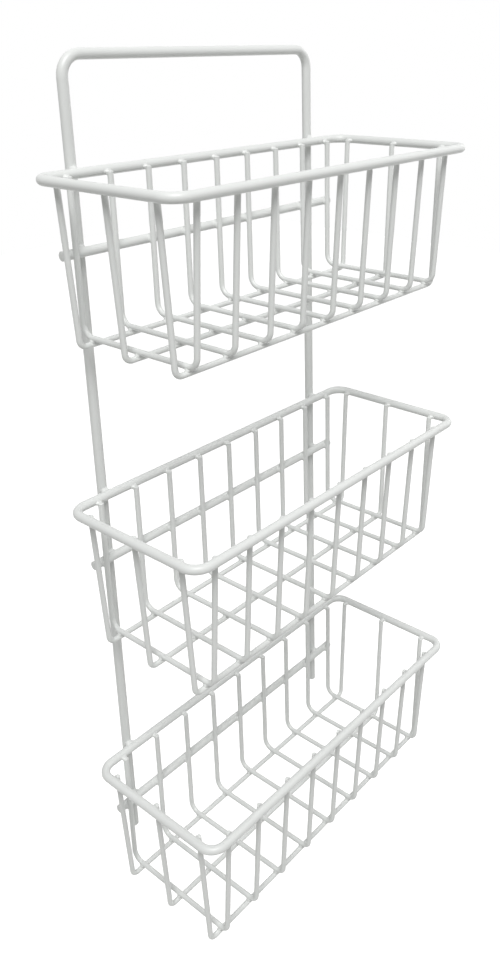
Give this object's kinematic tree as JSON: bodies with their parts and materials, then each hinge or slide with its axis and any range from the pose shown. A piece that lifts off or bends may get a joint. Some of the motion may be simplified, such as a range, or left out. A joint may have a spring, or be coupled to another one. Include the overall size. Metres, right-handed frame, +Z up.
{
  "type": "hanging fruit basket",
  "caption": "Wall-hung fruit rack of white coated wire: open rectangular baskets with U-shaped ribs, welded one above another to a frame wire bent as an inverted U.",
  "frame": {"origin": "middle of the top bar, on the axis of its wire, where the rack hangs", "axes": "+Z up, +X to the right seen from the front, +Y towards the wall: the baskets stand out on -Y"},
  "size_m": [0.2904, 0.1302, 0.6017],
  "materials": {
    "coated_wire": "satin"
  },
  "bodies": {
    "root": {"hanging_frame": "coated_wire", "top_rim": "coated_wire", "top_cross_rod": "coated_wire", "top_rib_1": "coated_wire", "top_rib_2": "coated_wire", "top_rib_3": "coated_wire", "top_rib_4": "coated_wire", "top_rib_5": "coated_wire", "top_rib_6": "coated_wire", "top_rib_7": "coated_wire", "top_rib_8": "coated_wire", "top_rib_9": "coated_wire", "top_runner_back": "coated_wire", "top_runner_middle": "coated_wire", "top_runner_front": "coated_wire", "middle_rim": "coated_wire", "middle_cross_rod": "coated_wire", "middle_rib_1": "coated_wire", "middle_rib_2": "coated_wire", "middle_rib_3": "coated_wire", "middle_rib_4": "coated_wire", "middle_rib_5": "coated_wire", "middle_rib_6": "coated_wire", "middle_rib_7": "coated_wire", "middle_rib_8": "coated_wire", "middle_rib_9": "coated_wire", "middle_runner_back": "coated_wire", "middle_runner_middle": "coated_wire", "middle_runner_front": "coated_wire", "bottom_rim": "coated_wire", "bottom_cross_rod": "coated_wire", "bottom_rib_1": "coated_wire", "bottom_rib_2": "coated_wire", "bottom_rib_3": "coated_wire", "bottom_rib_4": "coated_wire", "bottom_rib_5": "coated_wire", "bottom_rib_6": "coated_wire", "bottom_rib_7": "coated_wire", "bottom_rib_8": "coated_wire", "bottom_rib_9": "coated_wire", "bottom_runner_back": "coated_wire", "bottom_runner_middle": "coated_wire", "bottom_runner_front": "coated_wire"}
  },
  "joints": []
}
